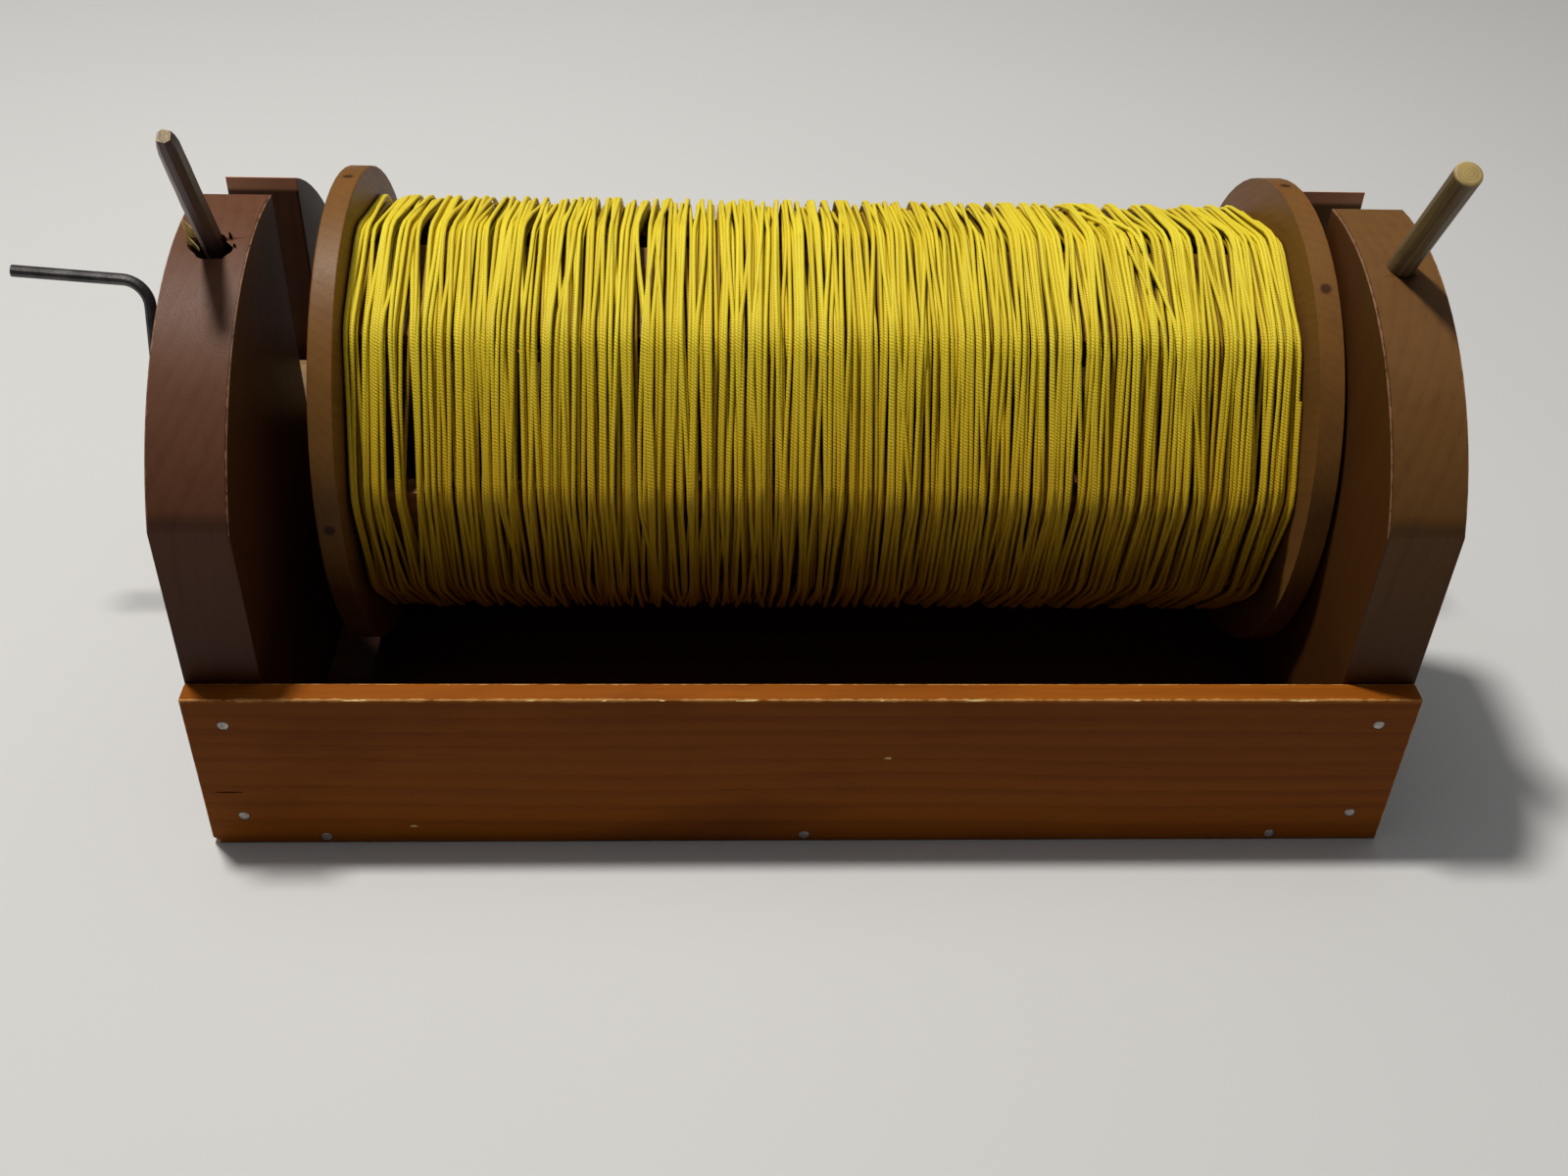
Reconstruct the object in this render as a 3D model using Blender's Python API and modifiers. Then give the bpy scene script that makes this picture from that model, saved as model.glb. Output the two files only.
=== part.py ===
"""Hand-cranked wooden cord winder: a nailed pine tray with two half-round cheeks,
and a slatted reel on a pole that rests in open slots and is kept down by two pegs.

Frame: metres, +X to the right, +Y to the back, +Z up. The origin is the middle of the
tray's underside.
"""
import bpy
import bmesh
from math import asin, cos, pi, radians, sin, sqrt
from mathutils import Euler, Matrix, Vector

# ---- driving dimensions ----
TRAY_LENGTH = 0.436
BOARD_HEIGHT = 0.0705
BOARD_THICKNESS = 0.009
FLOOR_THICKNESS = 0.006
CHEEK_THICKNESS = 0.0264
CHEEK_HEIGHT = 0.2001
CHEEK_RADIUS = 0.1156
KINK_RISE = 0.0503            # the kink in the cheek's front edge, above the arc's centre
REAR_SLOPE = radians(50.0)    # where the arc turns into the straight rear slope
SLOT_SETBACK = 0.030          # slot centre line behind the arc's centre

POLE_RADIUS = 0.0175
POLE_LENGTH = TRAY_LENGTH
FLANGE_RADIUS = 0.0931
FLANGE_THICKNESS = 0.0089
SLAT_COUNT = 5
SLAT_WIDTH = 0.0426
SLAT_THICKNESS = 0.008
FLANGE_RIM = 0.0181           # height of the flange's rim above the slats' outer edges
SLAT_CORNER_RADIUS = FLANGE_RADIUS - FLANGE_RIM
SLAT_PHASE = radians(67.5)    # first slat's middle, above the forward direction
FRONT_SLAT_DROP = radians(5.5)    # the last slat, at the front, is nailed below its even place
CORD_DEPTH = 0.0062

PEG_RADIUS = 0.00475
PEG_REACH = 0.0562            # how far a peg stands out of the cheek
RIGHT_PEG_RISE = radians(58.5)
LEFT_PEG_RISE = radians(61.5)
STICK_SLACK = 0.00015         # whittled left peg in its hole, at its corners
STICK_INNER_RADIUS = PEG_RADIUS - STICK_SLACK
STICK_TAPER = 0.0008          # smaller radius at its outer end
STICK_TURN = radians(20.0)

CRANK_RADIUS = 0.0024
CRANK_DEPTH = 0.025           # how far the rod is driven into the pole
CRANK_STANDOFF = 0.0366       # arm's plane outside the left cheek
CRANK_ARM = 0.0481
CRANK_LEAN = radians(19.8)    # arm's lean to the back, from upright
HANDLE_LENGTH = 0.0513
HANDLE_RISE = radians(4.5)
BEND_RADIUS = 0.0105

NAIL_HEAD_RADIUS = 0.00205
NAIL_HEAD_THICKNESS = 0.0008
NAIL_SHANK_RADIUS = 0.001
NAIL_LENGTH = 0.025
CHEEK_NAIL_LOW = 0.014        # heights of the two nails in each end of a board
CHEEK_NAIL_HIGH = 0.0585
FLOOR_NAIL_INSET = 0.0415     # end nails of the bottom row, from the board's ends

# ---- clearances ----
GAP = 0.0003                  # between pieces that touch
FLOOR_CLEARANCE = 0.002       # under the flanges
REAR_CLEARANCE = 0.0035       # behind the flanges
LEFT_PLAY = 0.0166            # reel's side play, as it lies pushed to the right
RIGHT_PLAY = 0.0019
SLOT_CLEARANCE = 0.0008       # each side of the pole
SEAT_GAP = 0.0001             # under the pole
PEG_CLEARANCE = 0.0001        # round the pegs
PEG_STOP_GAP = 0.0005         # between a peg's end and the pole
NAIL_CLEARANCE = 0.0001
CRANK_CLEARANCE = 0.0001
WINDING_GAP = 0.00036         # between the slats' corners and the cord

ROUND_SIDES = 64
PEG_SIDES = 32
SMALL_SIDES = 16
BEND_STEPS = 10
PEG_END_BEVEL = 0.0008
ARC_STEP = radians(4.0)
BORE_OVERRUN = 0.01           # how far a cutter runs past what it cuts

# ---- layout from the front face of the front board, then centred ----
CHEEK_FRONT = BOARD_THICKNESS + GAP
ARC_CENTRE = CHEEK_FRONT + sqrt(CHEEK_RADIUS**2 - KINK_RISE**2)
AXLE_BACK = ARC_CENTRE + SLOT_SETBACK
TRAY_INNER_BACK = AXLE_BACK + FLANGE_RADIUS + REAR_CLEARANCE
TRAY_DEPTH = TRAY_INNER_BACK + BOARD_THICKNESS
FRONT_Y = -TRAY_DEPTH / 2
BACK_Y = TRAY_DEPTH / 2

AXLE_Y = FRONT_Y + AXLE_BACK
AXLE_Z = FLOOR_THICKNESS + FLOOR_CLEARANCE + FLANGE_RADIUS
ARC_Y = FRONT_Y + ARC_CENTRE
ARC_Z = CHEEK_HEIGHT - CHEEK_RADIUS
CHEEK_MIDDLE = TRAY_LENGTH / 2 - CHEEK_THICKNESS / 2
CHEEK_INNER = TRAY_LENGTH / 2 - CHEEK_THICKNESS

REEL_LEFT = -CHEEK_INNER + LEFT_PLAY
REEL_RIGHT = CHEEK_INNER - RIGHT_PLAY
REEL_MIDDLE = (REEL_LEFT + REEL_RIGHT) / 2
CAGE_LENGTH = REEL_RIGHT - REEL_LEFT - 2 * FLANGE_THICKNESS - 2 * GAP
POLE_LEFT = REEL_MIDDLE - POLE_LENGTH / 2

WALNUT = (0.115, 0.030, 0.013)
CHESTNUT = (0.230, 0.065, 0.018)
TAN = (0.330, 0.150, 0.050)
DOWEL = (0.210, 0.120, 0.045)
YELLOW = (0.800, 0.560, 0.030)
STEEL = (0.045, 0.042, 0.045)
NAIL_GREY = (0.420, 0.410, 0.390)


def clear_scene():
    for item in list(bpy.data.objects):
        bpy.data.objects.remove(item, do_unlink=True)


def make_collection(name):
    collection = bpy.data.collections.new(name)
    bpy.context.scene.collection.children.link(collection)
    return collection


def make_material(name, color, roughness, metallic=0.0):
    material = bpy.data.materials.new(name)
    material.use_nodes = True
    shader = material.node_tree.nodes["Principled BSDF"]
    shader.inputs["Base Color"].default_value = (*color, 1.0)
    shader.inputs["Roughness"].default_value = roughness
    shader.inputs["Metallic"].default_value = metallic
    return material


def add_object(name, mesh, material, location=(0, 0, 0), turn=None):
    item = bpy.data.objects.new(name, mesh)
    item.location = location
    if turn is not None:
        item.rotation_euler = turn
    if material is not None:
        mesh.materials.append(material)
        PARTS.objects.link(item)
    else:
        item.hide_render = True
        item.display_type = 'WIRE'
        CUTTERS.objects.link(item)
    return item


def mesh_from(bm, name, smooth=True):
    mesh = bpy.data.meshes.new(name)
    bm.to_mesh(mesh)
    bm.free()
    if smooth:
        mesh.shade_smooth()
        mesh.set_sharp_from_angle(angle=radians(35))
    return mesh


def round_edges(item, width, segments=2):
    bevel = item.modifiers.new("eased edges", 'BEVEL')
    bevel.width = width
    bevel.segments = segments
    bevel.limit_method = 'ANGLE'
    bevel.angle_limit = radians(40)


def board(name, size, location, material, turn=None):
    bm = bmesh.new()
    bmesh.ops.create_cube(bm, size=1.0)
    bmesh.ops.scale(bm, vec=size, verts=bm.verts)
    return add_object(name, mesh_from(bm, name, smooth=False), material, location, turn)


def cylinder(name, radius, length, location, turn, material, sides=ROUND_SIDES, end_radius=None):
    if end_radius is None:
        end_radius = radius
    bm = bmesh.new()
    bmesh.ops.create_cone(bm, cap_ends=True, segments=sides, radius1=radius, radius2=end_radius,
                          depth=length)
    return add_object(name, mesh_from(bm, name), material, location, turn)


def along_x(sign=1):
    return Euler((0, sign * pi / 2, 0))


def cut(item, cutter):
    boolean = item.modifiers.new(cutter.name, 'BOOLEAN')
    boolean.operation = 'DIFFERENCE'
    boolean.object = cutter


# ---- nails: one turned profile, and a slightly larger one that cuts its hole ----
def nail_mesh(name, head_radius, head_thickness, shank_radius, length, lift=0.0):
    """Profile in the XZ plane: the head's top at z = lift, the point at z = -length."""
    bm = bmesh.new()
    profile = [(0, lift), (head_radius, lift), (head_radius, -head_thickness),
               (shank_radius, -head_thickness), (shank_radius, -length + 2 * shank_radius), (0, -length)]
    corners = [bm.verts.new((x, 0, z)) for x, z in profile]
    for upper, lower in zip(corners, corners[1:]):
        bm.edges.new((upper, lower))
    return mesh_from(bm, name, smooth=False)


def turn_profile(item):
    screw = item.modifiers.new("turned", 'SCREW')
    screw.steps = SMALL_SIDES
    screw.render_steps = SMALL_SIDES
    screw.use_merge_vertices = True
    screw.merge_threshold = 0.00001


def nail(name, head, turn, holders):
    """A nail whose head is flush with the surface at `head`, and its hole in each holder."""
    mesh = nail_mesh(name, NAIL_HEAD_RADIUS, NAIL_HEAD_THICKNESS, NAIL_SHANK_RADIUS, NAIL_LENGTH)
    item = add_object(name, mesh, NAIL_METAL, head, turn)
    turn_profile(item)
    void = nail_mesh(name + "_hole", NAIL_HEAD_RADIUS + NAIL_CLEARANCE,
                     NAIL_HEAD_THICKNESS + NAIL_CLEARANCE, NAIL_SHANK_RADIUS + NAIL_CLEARANCE,
                     NAIL_LENGTH + 3 * NAIL_CLEARANCE, lift=GAP)
    cutter = add_object(name + "_hole", void, None, head, turn)
    turn_profile(cutter)
    for holder in holders:
        cut(holder, cutter)
    return item


# ---- cheeks ----
def arc(centre, radius, start, end):
    """Points on an arc; angles run from the forward direction over the top."""
    steps = max(2, round(abs(end - start) / ARC_STEP))
    return [(centre[0] - radius * cos(start + (end - start) * i / steps),
             centre[1] + radius * sin(start + (end - start) * i / steps)) for i in range(steps + 1)]


def cheek_outline():
    """Side view (y, z): straight front edge, arc over the top, axle slot, rear slope, rear edge."""
    centre = (ARC_Y, ARC_Z)
    half_slot = POLE_RADIUS + SLOT_CLEARANCE
    seat_z = AXLE_Z + SLOT_CLEARANCE - SEAT_GAP
    front, rear = FRONT_Y + CHEEK_FRONT, BACK_Y - BOARD_THICKNESS - GAP
    lip_front = pi / 2 + asin((AXLE_Y - half_slot - ARC_Y) / CHEEK_RADIUS)
    lip_rear = pi / 2 + asin((AXLE_Y + half_slot - ARC_Y) / CHEEK_RADIUS)
    points = [(front, 0)]
    points += arc(centre, CHEEK_RADIUS, asin(KINK_RISE / CHEEK_RADIUS), lip_front)
    points += arc((AXLE_Y, seat_z), half_slot, 0, -pi)
    points += arc(centre, CHEEK_RADIUS, lip_rear, pi / 2 + REAR_SLOPE)
    leave_y, leave_z = points[-1]
    points += [(rear, leave_z - (rear - leave_y) * sin(REAR_SLOPE) / cos(REAR_SLOPE)), (rear, 0)]
    return points


def slab_from_outline(name, points, thickness, x, material):
    """An outline in the YZ plane, drawn as a filled flat curve, made a mesh so that it can be cut."""
    curve = bpy.data.curves.new(name + "_outline", 'CURVE')
    curve.dimensions = '2D'
    curve.fill_mode = 'BOTH'
    curve.extrude = thickness / 2
    spline = curve.splines.new('POLY')
    spline.points.add(len(points) - 1)
    for point, (y, z) in zip(spline.points, points):
        point.co = (y, z, 0, 1)
    spline.use_cyclic_u = True
    drawn = bpy.data.objects.new(name + "_outline", curve)
    drawn.location = (x, 0, 0)
    drawn.rotation_euler = (pi / 2, 0, pi / 2)
    PARTS.objects.link(drawn)
    bpy.context.view_layer.update()
    mesh = bpy.data.meshes.new_from_object(drawn.evaluated_get(bpy.context.evaluated_depsgraph_get()))
    mesh.name = name
    bm = bmesh.new()
    bm.from_mesh(mesh)
    bmesh.ops.remove_doubles(bm, verts=bm.verts, dist=0.00001)
    bm.to_mesh(mesh)
    bm.free()
    placed = drawn.matrix_world.copy()
    bpy.data.objects.remove(drawn)
    mesh.materials.clear()
    item = add_object(name, mesh, material)
    item.matrix_world = placed
    return item


def peg_entry(rise):
    """Distance from the pole's axis to the cheek's arc, along a peg's line."""
    across = AXLE_Y - ARC_Y
    up = AXLE_Z - ARC_Z
    half = up * sin(rise) - across * cos(rise)
    return -half + sqrt(half**2 + CHEEK_RADIUS**2 - across**2 - up**2)


def peg_frame(x, rise, distance):
    """Place and turn of something on a peg's line, its local +Z pointing outward."""
    place = (x, AXLE_Y - distance * cos(rise), AXLE_Z + distance * sin(rise))
    return place, Euler((pi / 2 - rise, 0, 0))


def drill_peg_hole(cheek, x, rise):
    length = peg_entry(rise) + BORE_OVERRUN - POLE_RADIUS
    place, turn = peg_frame(x, rise, POLE_RADIUS + length / 2)
    hole = cylinder(cheek.name + "_peg_hole", PEG_RADIUS + PEG_CLEARANCE, length, place, turn, None,
                    sides=PEG_SIDES)
    cut(cheek, hole)


def build_tray():
    middle = BOARD_HEIGHT / 2
    size = (TRAY_LENGTH, BOARD_THICKNESS, BOARD_HEIGHT)
    front = board("front_board", size, (0, FRONT_Y + BOARD_THICKNESS / 2, middle), CHESTNUT_WOOD)
    back = board("back_board", size, (0, BACK_Y - BOARD_THICKNESS / 2, middle), CHESTNUT_WOOD)
    floor_size = (2 * (CHEEK_INNER - GAP), TRAY_DEPTH - 2 * (BOARD_THICKNESS + GAP), FLOOR_THICKNESS)
    floor = board("bottom_board", floor_size, (0, 0, FLOOR_THICKNESS / 2), WALNUT_WOOD)
    cheeks = {}
    for side, sign, rise in (("left", -1, LEFT_PEG_RISE), ("right", 1, RIGHT_PEG_RISE)):
        cheek = slab_from_outline(side + "_cheek", cheek_outline(), CHEEK_THICKNESS, sign * CHEEK_MIDDLE,
                                  WALNUT_WOOD)
        drill_peg_hole(cheek, sign * CHEEK_MIDDLE, rise)
        cheeks[side] = cheek
    for face, y, turn, wood in (("front", FRONT_Y, Euler((pi / 2, 0, 0)), front),
                                ("back", BACK_Y, Euler((-pi / 2, 0, 0)), back)):
        for side, sign in (("left", -1), ("right", 1)):
            for level, z in (("low", CHEEK_NAIL_LOW), ("high", CHEEK_NAIL_HIGH)):
                nail(f"{face}_{side}_nail_{level}", (sign * CHEEK_MIDDLE, y, z), turn, (wood, cheeks[side]))
        for place, x in (("left", -TRAY_LENGTH / 2 + FLOOR_NAIL_INSET), ("middle", 0.0),
                         ("right", TRAY_LENGTH / 2 - FLOOR_NAIL_INSET)):
            nail(f"{face}_floor_nail_{place}", (x, y, FLOOR_THICKNESS / 2), turn, (wood, floor))


# ---- reel ----
def slat_angles():
    angles = [SLAT_PHASE + 2 * pi * i / SLAT_COUNT for i in range(SLAT_COUNT)]
    return angles[:-1] + [angles[-1] - FRONT_SLAT_DROP]


def slat_half_angle():
    return asin(SLAT_WIDTH / 2 / SLAT_CORNER_RADIUS)


def around(angle, radius):
    """A point of the reel's side view, relative to the pole's axis."""
    return (-radius * cos(angle), radius * sin(angle))


def build_flanges():
    flanges = []
    for side, x in (("left", REEL_LEFT + FLANGE_THICKNESS / 2),
                    ("right", REEL_RIGHT - FLANGE_THICKNESS / 2)):
        flange = cylinder(side + "_flange", FLANGE_RADIUS, FLANGE_THICKNESS,
                          (x, AXLE_Y, AXLE_Z), along_x(), TAN_WOOD)
        bore = cylinder(side + "_flange_bore", POLE_RADIUS + GAP, FLANGE_THICKNESS + 2 * BORE_OVERRUN,
                        (x, AXLE_Y, AXLE_Z), along_x(), None)
        cut(flange, bore)
        flanges.append(flange)
    return flanges


def build_slats(flanges):
    face = sqrt(SLAT_CORNER_RADIUS**2 - (SLAT_WIDTH / 2)**2)
    for number, angle in enumerate(slat_angles(), 1):
        y, z = around(angle, face - SLAT_THICKNESS / 2)
        slat = board(f"slat_{number}", (CAGE_LENGTH, SLAT_WIDTH, SLAT_THICKNESS),
                     (REEL_MIDDLE, AXLE_Y + y, AXLE_Z + z), TAN_WOOD, Euler((pi / 2 - angle, 0, 0)))
        for side, x, sign, flange in (("left", REEL_LEFT, -1, flanges[0]),
                                      ("right", REEL_RIGHT, 1, flanges[1])):
            nail(f"slat_{number}_nail_{side}", (x, AXLE_Y + y, AXLE_Z + z), along_x(sign), (flange, slat))


def ring_mesh(name, inner, outer, length):
    """A straight tube along X between two matching closed outlines."""
    bm = bmesh.new()
    rings = []
    for x in (-length / 2, length / 2):
        for outline in (inner, outer):
            rings.append([bm.verts.new((x, y, z)) for y, z in outline])
    count = len(inner)
    near_in, near_out, far_in, far_out = rings
    for first, second in ((near_out, far_out), (far_out, far_in), (far_in, near_in), (near_in, near_out)):
        for i in range(count):
            j = (i + 1) % count
            bm.faces.new((first[i], first[j], second[j], second[i]))
    bmesh.ops.recalc_face_normals(bm, faces=bm.faces)
    return mesh_from(bm, name, smooth=False)


def build_winding():
    """The wound cord as one sleeve: it lies on the slats' corners and spans the gaps between them."""
    corners = []
    for angle in slat_angles():
        corners += [angle - slat_half_angle(), angle + slat_half_angle()]
    inner = [around(a, SLAT_CORNER_RADIUS + WINDING_GAP) for a in corners]
    outer = [around(a, SLAT_CORNER_RADIUS + CORD_DEPTH) for a in corners]
    mesh = ring_mesh("cord_winding", inner, outer, CAGE_LENGTH)
    add_object("cord_winding", mesh, CORD, (REEL_MIDDLE, AXLE_Y, AXLE_Z))


def bent_path(corners, radius):
    """Points of a path through the corners, each bend a round arc."""
    points = [corners[0]]
    for before, corner, after in zip(corners, corners[1:], corners[2:]):
        into = (corner - before).normalized()
        out = (after - corner).normalized()
        turn = into.angle(out)
        reach = radius * (1 - cos(turn)) / sin(turn)
        start = corner - into * reach
        side = (out - into * into.dot(out)).normalized()
        centre = start + side * radius
        for i in range(BEND_STEPS + 1):
            a = turn * i / BEND_STEPS
            points.append(centre - side * radius * cos(a) + into * radius * sin(a))
    return points + [corners[-1]]


def build_crank(pole):
    inner = Vector((POLE_LEFT + CRANK_DEPTH, AXLE_Y, AXLE_Z))
    foot = Vector((-TRAY_LENGTH / 2 - CRANK_STANDOFF, AXLE_Y, AXLE_Z))
    head = foot + Vector((0, sin(CRANK_LEAN), cos(CRANK_LEAN))) * CRANK_ARM
    tip = head + Vector((-cos(HANDLE_RISE), 0, sin(HANDLE_RISE))) * HANDLE_LENGTH
    path = bent_path([inner, foot, head, tip], BEND_RADIUS)
    curve = bpy.data.curves.new("crank_rod", 'CURVE')
    curve.dimensions = '3D'
    curve.bevel_depth = CRANK_RADIUS
    curve.bevel_resolution = 3
    curve.use_fill_caps = True
    spline = curve.splines.new('POLY')
    spline.points.add(len(path) - 1)
    origin = Vector((0, AXLE_Y, AXLE_Z))
    for point, place in zip(spline.points, path):
        point.co = (*(place - origin), 1)
    add_object("crank_rod", curve, CRANK_METAL, origin)
    depth = CRANK_DEPTH + CRANK_CLEARANCE
    hole = cylinder("crank_hole", CRANK_RADIUS + CRANK_CLEARANCE, depth + BORE_OVERRUN,
                    (POLE_LEFT + (depth - BORE_OVERRUN) / 2, AXLE_Y, AXLE_Z), along_x(), None,
                    sides=SMALL_SIDES)
    cut(pole, hole)


def build_reel():
    pole = cylinder("axle_pole", POLE_RADIUS, POLE_LENGTH, (REEL_MIDDLE, AXLE_Y, AXLE_Z),
                    along_x(), DOWEL_WOOD)
    build_slats(build_flanges())
    build_winding()
    build_crank(pole)


def build_pegs():
    inner = POLE_RADIUS + PEG_STOP_GAP
    length = peg_entry(RIGHT_PEG_RISE) + PEG_REACH - inner
    place, turn = peg_frame(CHEEK_MIDDLE, RIGHT_PEG_RISE, inner + length / 2)
    peg = cylinder("right_peg", PEG_RADIUS, length, place, turn, DOWEL_WOOD, sides=PEG_SIDES)
    round_edges(peg, PEG_END_BEVEL)
    length = peg_entry(LEFT_PEG_RISE) + PEG_REACH - inner
    place, turn = peg_frame(-CHEEK_MIDDLE, LEFT_PEG_RISE, inner + length / 2)
    turn = (turn.to_matrix() @ Matrix.Rotation(STICK_TURN, 3, 'Z')).to_euler()
    cylinder("left_peg", STICK_INNER_RADIUS, length, place, turn, DOWEL_WOOD, sides=4,
             end_radius=STICK_INNER_RADIUS - STICK_TAPER)


clear_scene()
PARTS = make_collection("cord_winder")
CUTTERS = make_collection("cutters")
CHESTNUT_WOOD = make_material("chestnut_stained_pine", CHESTNUT, 0.35)
WALNUT_WOOD = make_material("walnut_stained_pine", WALNUT, 0.40)
TAN_WOOD = make_material("varnished_tan_wood", TAN, 0.38)
DOWEL_WOOD = make_material("worn_dowel", DOWEL, 0.55)
CORD = make_material("yellow_cord", YELLOW, 0.60)
CRANK_METAL = make_material("dark_steel", STEEL, 0.40, 1.0)
NAIL_METAL = make_material("nail_steel", NAIL_GREY, 0.35, 1.0)

build_tray()
build_reel()
build_pegs()
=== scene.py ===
"""Cord winder: finishes, eased woodwork, nails and the wound cord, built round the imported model.

Everything is in metres: +X to the right, +Y to the back, +Z up, the origin under the tray's middle.
"""

import math
import random

import bmesh
import bpy
import numpy as np
from mathutils import Matrix, Vector, noise


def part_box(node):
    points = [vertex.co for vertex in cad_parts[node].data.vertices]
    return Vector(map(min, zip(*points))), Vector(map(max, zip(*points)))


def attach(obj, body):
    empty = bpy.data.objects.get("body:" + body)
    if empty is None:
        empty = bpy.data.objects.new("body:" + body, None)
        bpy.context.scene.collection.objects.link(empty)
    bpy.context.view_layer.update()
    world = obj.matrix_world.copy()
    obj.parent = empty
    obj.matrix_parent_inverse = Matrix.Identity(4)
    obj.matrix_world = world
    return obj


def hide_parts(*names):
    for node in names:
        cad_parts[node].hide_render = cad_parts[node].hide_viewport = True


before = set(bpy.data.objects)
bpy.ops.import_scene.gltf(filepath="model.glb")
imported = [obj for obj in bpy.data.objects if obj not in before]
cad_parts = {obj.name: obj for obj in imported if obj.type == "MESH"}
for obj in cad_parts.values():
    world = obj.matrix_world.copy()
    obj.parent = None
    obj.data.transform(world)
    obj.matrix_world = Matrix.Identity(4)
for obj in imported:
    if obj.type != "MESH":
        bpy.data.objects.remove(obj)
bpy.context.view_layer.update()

# ---- sizes taken from the frame ----
POLE_LOW, POLE_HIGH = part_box("axle_pole")
AXLE_Y = (POLE_LOW.y + POLE_HIGH.y) / 2
AXLE_Z = (POLE_LOW.z + POLE_HIGH.z) / 2
FRONT_LOW, FRONT_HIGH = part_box("front_board")
BACK_LOW, BACK_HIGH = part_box("back_board")
LEFT_LOW, LEFT_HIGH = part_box("left_cheek")
RIGHT_LOW, RIGHT_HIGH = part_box("right_cheek")
FLANGE_LOW, FLANGE_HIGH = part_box("left_flange")
WINDING_LOW, WINDING_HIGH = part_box("cord_winding")
FLANGE_RADIUS = (FLANGE_HIGH.z - FLANGE_LOW.z) / 2

# ---- the cheeks' round top, and the open slot behind its middle ----
CHEEK_RADIUS = 0.1156
SLOT_SETBACK = 0.030
ARC_Y = AXLE_Y - SLOT_SETBACK
ARC_Z = LEFT_HIGH.z - CHEEK_RADIUS
SLOT_BACK = AXLE_Y + 0.0185
SLOT_LIT_DEPTH = 0.0165         # how far down its back wall the slot has painted light
CHEEK_GRAIN_TURN = math.radians(87)

# ---- eased woodwork ----
EASE_STEPS = 3
EASE_FROM_LENGTH = 0.0011       # shorter corners stay as they are
EASE_FROM_ANGLE = math.radians(35)

# ---- the cord on its slats ----
SLAT_COUNT = 5
SLAT_PHASE = math.radians(67.5)
FRONT_SLAT_DROP = math.radians(5.5)
SLAT_WIDTH = 0.0426
SLAT_CORNER_RADIUS = 0.075
SLAT_HALF_ANGLE = math.asin(SLAT_WIDTH / 2 / SLAT_CORNER_RADIUS)
CORD_RADIUS = 0.00080
CORD_LAY = 0.0024               # length of one twist of its strands
CORD_LAYERS = (("inner", 150, 5), ("middle", 158, 5), ("outer", 172, 8))    # name, turns, sides
CORD_TONES_AND_SHADE = {"inner": (1.0, 1.0), "middle": (0.60, 0.82), "outer": (0.35, 0.75)}    # middle and darkest tone per layer; the deeper layers' darker tones are painted shade
CORD_SEAT_GAP = 0.0013          # between the slats' corners and the first layer
CORD_BASE_RADIUS = SLAT_CORNER_RADIUS + CORD_SEAT_GAP + CORD_RADIUS
CORNER_ROUNDING = 0.014         # radius of the cord's bend over a slat's corner
ROUNDED_SHARE = 0.10            # how much of the way to the next corner the bend takes
STRAIGHT_SHARES = (0.37, 0.63)  # stations on the straight run between two corners
LOOSE_RISE = 0.0016             # the winding is slack over its top, most at LOOSE_MIDDLE
LOOSE_MIDDLE = math.radians(112)
STACK_LIMIT = 0.0046            # no turn's middle rises further than this
CORD_END_GAP = 0.0002
TURN_PRESS = 0.96               # neighbours press this close, as a share of the cord's thickness
NEST_SHARE = 0.93               # how high a turn sits in the groove between two others
BRIDGE_SAG = 0.00005            # how far a turn dips where it spans a gap
SHARED_WANDER = 0.0006          # neighbours wander together
OWN_WANDER = 0.00092            # and each turn by itself, from corner to corner
WANDER_KEPT = 0.44              # share of it that lasts to the next corner
PARTING_REACH = 0.0030          # a parting fades over this length of the reel
PARTING_BESIDE = 0.35           # how much of a parting shows at the corners before and after
SMALL_STRAYS = 60

# ---- pegs; the left one is a split stick in a broken-out hole ----
LEFT_PEG_RISE = math.radians(61.5)
RIGHT_PEG_RISE = math.radians(58.5)
PEG_REACH = 0.0562              # how far a peg stands out of its cheek
LEFT_PEG_X = (LEFT_LOW.x + LEFT_HIGH.x) / 2
STICK_START = 0.0186            # the stick's inner end, from the pole's axis
HOLE_SHIFT = 0.0030             # the hole is torn further to the front
SPLINTER_ROOT = 0.0030          # how deep the splinters stand in the wood

# ---- nails ----
NAIL_TILT = 0.035               # in radians, at most

# ---- floor ----
STAGE_HALF = 6.0
STAGE_DROP = 0.0001             # the floor lies just under the tray


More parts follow.
